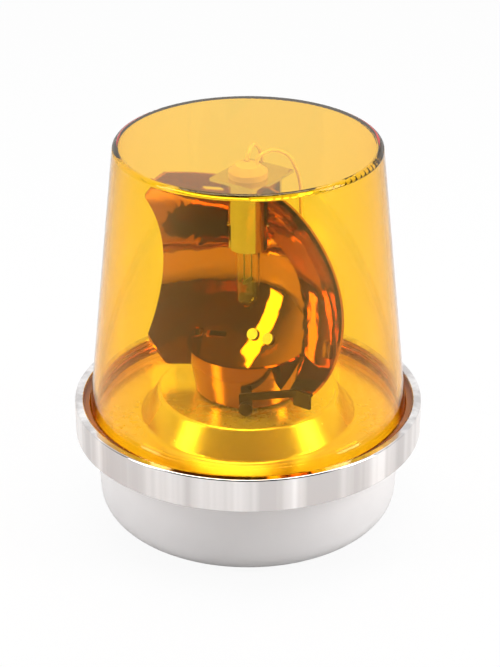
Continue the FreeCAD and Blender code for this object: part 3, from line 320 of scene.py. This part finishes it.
def buildScrewTree():
    tree = newTree("slottedScrews", "Seats", [*screwHead, "Shank Length"], "Screws")
    sizes = addNode(tree, "NodeGroupInput")
    head = addNode(tree, "GeometryNodeMeshCone", inputs={"Vertices": screwMake["headSides"]},
                   links={"Radius Top": (sizes, "Crown Radius"), "Radius Bottom": (sizes, "Head Radius"),
                          "Depth": (sizes, "Head Height")})
    slotSize = addNode(tree, "ShaderNodeCombineXYZ", inputs={"X": screwMake["bladeLength"]},
                       links={"Y": (sizes, "Slot Width")})
    twice = addNode(tree, "ShaderNodeMath", {"operation": "MULTIPLY"}, links={0: (sizes, "Slot Depth")})
    twice.inputs[1].default_value = 2.0
    tree.links.new(twice.outputs[0], slotSize.inputs["Z"])
    blade = addNode(tree, "GeometryNodeMeshCube", links={"Size": (slotSize, "Vector")})
    crown = addNode(tree, "ShaderNodeCombineXYZ", links={"Z": (sizes, "Head Height")})
    raisedBlade = addNode(tree, "GeometryNodeTransform",
                          links={"Geometry": (blade, "Mesh"), "Translation": (crown, "Vector")})
    slotted = addNode(tree, "GeometryNodeMeshBoolean", {"operation": "DIFFERENCE", "solver": "EXACT"})
    tree.links.new(head.outputs["Mesh"], slotted.inputs["Mesh 1"])
    tree.links.new(raisedBlade.outputs["Geometry"], slotted.inputs["Mesh 2"])
    shank = addNode(tree, "GeometryNodeMeshCylinder", inputs={"Vertices": screwMake["shankSides"]},
                    links={"Radius": (sizes, "Shank Radius"), "Depth": (sizes, "Shank Length")})
    half = addNode(tree, "ShaderNodeMath", {"operation": "MULTIPLY"}, links={0: (sizes, "Shank Length")})
    half.inputs[1].default_value = -0.5
    down = addNode(tree, "ShaderNodeCombineXYZ", links={"Z": (half, 0)})
    loweredShank = addNode(tree, "GeometryNodeTransform",
                           links={"Geometry": (shank, "Mesh"), "Translation": (down, "Vector")})
    screw = addNode(tree, "GeometryNodeJoinGeometry")
    tree.links.new(slotted.outputs["Mesh"], screw.inputs[0])
    tree.links.new(loweredShank.outputs["Geometry"], screw.inputs[0])
    turns = addNode(tree, "FunctionNodeRandomValue", {"data_type": "FLOAT"},
                    inputs={"Seed": screwMake["turnSeed"]})
    turns.inputs[3].default_value = screwMake["turnMax"]
    spin = addNode(tree, "ShaderNodeCombineXYZ", links={"Z": (turns, 1)})
    placed = addNode(tree, "GeometryNodeInstanceOnPoints",
                     links={"Points": (sizes, "Seats"), "Instance": (screw, 0)})
    tree.links.new(spin.outputs["Vector"], placed.inputs["Rotation"])
    solid = addNode(tree, "GeometryNodeRealizeInstances", links={"Geometry": (placed, "Instances")})
    dressed = addNode(tree, "GeometryNodeSetMaterial",
                      links={"Geometry": (solid, "Geometry"), "Material": (sizes, "Finish")})
    addNode(tree, "NodeGroupOutput", links={"Screws": (dressed, "Geometry")})
    return tree


def screwSeats(nodeName):
    # each screw's axis and the level its head sits on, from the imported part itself
    groups = []
    for vertex in nodes[nodeName].data.vertices:
        for group in groups:
            if math.dist(group[0].xy, vertex.co.xy) < screwMake["sameScrew"]:
                group.append(vertex.co.copy())
                break
        else:
            groups.append([vertex.co.copy()])
    seats = []
    for group in groups:
        low = [min(c[axis] for c in group) for axis in range(3)]
        high = [max(c[axis] for c in group) for axis in range(3)]
        top = high[2] - screwHead["Head Height"]
        seats.append(((low[0] + high[0]) / 2, (low[1] + high[1]) / 2, top, top - low[2]))
    return seats


def addScrews(tree, pieceName, nodeName, body, slot):
    seats = screwSeats(nodeName)
    mesh = bpy.data.meshes.new(pieceName)
    mesh.from_pydata([seat[:3] for seat in seats], [], [])
    piece = bpy.data.objects.new(pieceName, mesh)
    scene.collection.objects.link(piece)
    growMesh(piece, tree, {**screwHead, "Shank Length": seats[0][3], "Finish": finish[slot]})
    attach(piece, body)
    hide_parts(nodeName)
    print("screws on", nodeName, len(seats), "faces", len(piece.data.polygons))


screwTree = buildScrewTree()
for pieceName, nodeName in (("chassisScrewSet", "chassis_screws"), ("motorScrewSet", "motor_screws"),
                            ("holderScrewSet", "holder_screws"), ("terminalScrewSet", "terminal_screws")):
    addScrews(screwTree, pieceName, nodeName, "base", "zinc_steel")
addScrews(screwTree, "hubScrew", "hub_screw", "rotor", "zinc_steel")


# plunger spring: a coil of fixed height; in the socket the lamp cap pushes the contact up against it

springCoil = {"wireRadius": 0.35 * mm, "turns": 5.0, "stepsPerTurn": 24, "wireSides": 10}


def buildSpringTree():
    sizeNames = ("Coil Radius", "Wire Radius", "Turns", "Height", "Low Level")
    tree = newTree("coilSpring", "Start", sizeNames, "Spring")
    sizes = addNode(tree, "NodeGroupInput")
    helix = addNode(tree, "GeometryNodeCurveSpiral", inputs={"Resolution": springCoil["stepsPerTurn"]},
                    links={"Rotations": (sizes, "Turns"), "Start Radius": (sizes, "Coil Radius"),
                           "End Radius": (sizes, "Coil Radius"), "Height": (sizes, "Height")})
    wire = addNode(tree, "GeometryNodeCurvePrimitiveCircle",
                   inputs={"Resolution": springCoil["wireSides"]})
    tree.links.new(sizes.outputs["Wire Radius"], wire.inputs["Radius"])
    swept = addNode(tree, "GeometryNodeCurveToMesh", inputs={"Fill Caps": True},
                    links={"Curve": (helix, "Curve"), "Profile Curve": (wire, "Curve")})
    level = addNode(tree, "ShaderNodeCombineXYZ", links={"Z": (sizes, "Low Level")})
    raised = addNode(tree, "GeometryNodeTransform",
                     links={"Geometry": (swept, "Mesh"), "Translation": (level, "Vector")})
    solid = addNode(tree, "GeometryNodeRealizeInstances", links={"Geometry": (raised, "Geometry")})
    dressed = addNode(tree, "GeometryNodeSetMaterial",
                      links={"Geometry": (solid, "Geometry"), "Material": (sizes, "Finish")})
    addNode(tree, "NodeGroupOutput", links={"Spring": (dressed, "Geometry")})
    return tree


def addPlungerSpring():
    low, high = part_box("plunger_spring")
    wire = springCoil["wireRadius"]
    height = high[2] - low[2]
    piece = bpy.data.objects.new("plungerSpring", bpy.data.meshes.new("plungerSpring"))
    scene.collection.objects.link(piece)
    growMesh(piece, buildSpringTree(), {
        "Coil Radius": (high[0] - low[0]) / 2 - wire, "Wire Radius": wire,
        "Turns": springCoil["turns"], "Height": height - wire * 2,
        "Low Level": low[2] + wire, "Finish": finish["contact_brass"]})
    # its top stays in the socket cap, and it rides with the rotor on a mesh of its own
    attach(piece, "rotor")
    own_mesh(piece)
    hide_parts("plunger_spring")
    print("plunger spring faces", len(piece.data.polygons), "height", round(height / mm, 2))


addPlungerSpring()


# floor, world and lamps

studio = {"floorSize": 6.0, "floorHex": "#cccccc", "floorRough": 0.9, "floorGlow": 0.93,
          "skyFront": "#2e2b29", "skyBack": "#ffffff", "frontY": -0.30, "backY": 0.55}
lamps = {
    "leftStrip": {"place": (-0.95, -0.35, 0.55), "target": (0, 0, 0.08), "size": (0.3, 0.9), "watts": 6.5},
    "rightStrip": {"place": (0.95, -0.30, 0.50), "target": (0, 0, 0.08), "size": (0.35, 0.9), "watts": 8.5},
    "topSoftbox": {"place": (0.0, 0.18, 1.35), "target": (0, 0.05, 0.12), "size": (1.25, 0.85),
                   "watts": 17.0},
}


def seenDirectly(tree):
    # 1 where the camera looks past or straight through the object, 0 in what it reflects
    rays = addNode(tree, "ShaderNodeLightPath")
    bounces = addNode(tree, "ShaderNodeMath", {"operation": "ADD"})
    tree.links.new(rays.outputs["Glossy Depth"], bounces.inputs[0])
    tree.links.new(rays.outputs["Diffuse Depth"], bounces.inputs[1])
    direct = addNode(tree, "ShaderNodeMath", {"operation": "LESS_THAN"}, links={0: (bounces, 0)})
    direct.inputs[1].default_value = 0.5
    return direct


def makeWorld():
    world = bpy.data.worlds.new("softStudio")
    world.use_nodes = True
    tree = world.node_tree
    tree.nodes.clear()
    coords = addNode(tree, "ShaderNodeTexCoord")
    split = addNode(tree, "ShaderNodeSeparateXYZ", links={"Vector": (coords, "Generated")})
    turn = addNode(tree, "ShaderNodeMapRange", {"interpolation_type": "SMOOTHSTEP"},
                   inputs={"From Min": studio["frontY"], "From Max": studio["backY"]},
                   links={"Value": (split, "Y")})
    shade = addNode(tree, "ShaderNodeMix", {"data_type": "RGBA"}, links={"Factor": (turn, "Result")})
    shade.inputs["A"].default_value = linear(studio["skyFront"])
    shade.inputs["B"].default_value = linear(studio["skyBack"])
    sky = addNode(tree, "ShaderNodeBackground", links={"Color": (shade, "Result")})
    plain = addNode(tree, "ShaderNodeBackground", inputs={"Color": (1, 1, 1, 1), "Strength": 1.0})
    mix = addNode(tree, "ShaderNodeMixShader", links={"Fac": (seenDirectly(tree), 0)})
    tree.links.new(sky.outputs[0], mix.inputs[1])
    tree.links.new(plain.outputs[0], mix.inputs[2])
    output = addNode(tree, "ShaderNodeOutputWorld")
    tree.links.new(mix.outputs[0], output.inputs[0])
    scene.world = world


def makeFloor():
    mesh = bpy.data.meshes.new("floor")
    half = studio["floorSize"] / 2
    mesh.from_pydata([(-half, -half, 0), (half, -half, 0), (half, half, 0), (-half, half, 0)],
                     [], [(0, 1, 2, 3)])
    floor = bpy.data.objects.new("floor", mesh)
    scene.collection.objects.link(floor)
    material, tree, shader = newMaterial("pale_paper_floor")
    setShader(shader, colour=linear(studio["floorHex"]), rough=studio["floorRough"])
    glow = addNode(tree, "ShaderNodeEmission", inputs={"Color": (1, 1, 1, 1), "Strength": 1.0})
    mix = addNode(tree, "ShaderNodeMixShader")
    part = addNode(tree, "ShaderNodeMath", {"operation": "MULTIPLY"}, links={0: (seenDirectly(tree), 0)})
    part.inputs[1].default_value = studio["floorGlow"]
    tree.links.new(part.outputs[0], mix.inputs["Fac"])
    tree.links.new(shader.outputs[0], mix.inputs[1])
    tree.links.new(glow.outputs[0], mix.inputs[2])
    tree.links.new(mix.outputs[0], outputOf(tree).inputs[0])
    mesh.materials.append(material)


def makeLamp(name, place, target, size, watts):
    light = bpy.data.lights.new(name, "AREA")
    light.shape = "RECTANGLE"
    light.size, light.size_y = size
    light.energy = watts
    lamp = bpy.data.objects.new(name, light)
    scene.collection.objects.link(lamp)
    heading = Vector(target) - Vector(place)
    lamp.matrix_world = Matrix.Translation(place) @ heading.to_track_quat("-Z", "Y").to_matrix().to_4x4()


makeWorld()
makeFloor()
for name, lampLook in lamps.items():
    makeLamp(name, **lampLook)
print("world, floor and", len(lamps), "lamps set")

# camera: looks down on the beacon from a little in front, long lens
shot = {"back": 0.9025, "height": 0.5443, "pitchDeg": 26.73, "sensorMm": 36.0, "lensMm": 115.68,
        "shiftX": 0.003, "clipStart": 0.05}
camera = bpy.data.objects.new("camera", bpy.data.cameras.new("camera"))
camera.data.sensor_fit = "VERTICAL"
camera.data.sensor_height = shot["sensorMm"]
camera.data.lens = shot["lensMm"]
camera.data.shift_x = shot["shiftX"]
camera.location = (0, -shot["back"], shot["height"])
camera.rotation_euler = (math.radians(90 - shot["pitchDeg"]), 0, 0)
camera.data.clip_start = shot["clipStart"]
scene.collection.objects.link(camera)
scene.camera = camera
print("camera set")

scene.view_settings.view_transform = "Standard"
